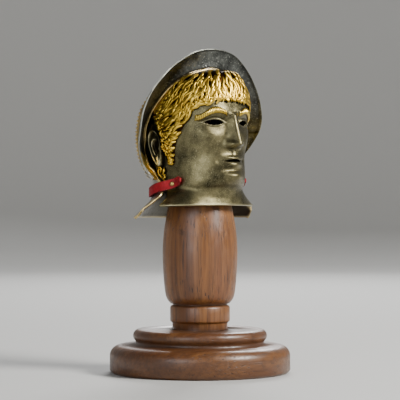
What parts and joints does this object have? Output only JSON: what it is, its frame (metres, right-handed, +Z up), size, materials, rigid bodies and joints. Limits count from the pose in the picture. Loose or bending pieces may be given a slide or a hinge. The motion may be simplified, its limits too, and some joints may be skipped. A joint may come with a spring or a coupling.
{
  "type": "roman cavalry helmet on wooden stand",
  "caption": "Miniature of a Roman cavalry parade helmet with face mask, gilded curls, upright peak, neck guard and red leather strap, on a turned wooden display stand.",
  "frame": {"origin": "centre of the underside of the wooden base", "axes": "+Z up along the stand's turning axis; the face looks along -Y; the wearer's right side is at -X"},
  "size_m": [0.0528, 0.0528, 0.0943],
  "materials": {
    "gilding": "gilded relief with dark recesses",
    "mask_metal": "dark satin bronze tone, worn brighter on the raised parts",
    "grey_metal": "mottled dark steel with a bright worn edge",
    "bowl_metal": "aged brass relief",
    "red_leather": "matt dyed red",
    "wood": "stained, open pored, satin varnish"
  },
  "bodies": {
    "root": {"brow_left": "gilding", "brow_right": "gilding", "face_mask": "mask_metal", "hair": "gilding", "helmet_bowl": "bowl_metal", "nape_strap": "red_leather", "peak": "grey_metal", "stand_base": "wood", "stand_stem": "wood", "stud_left": "gilding", "stud_right": "gilding"}
  },
  "joints": []
}
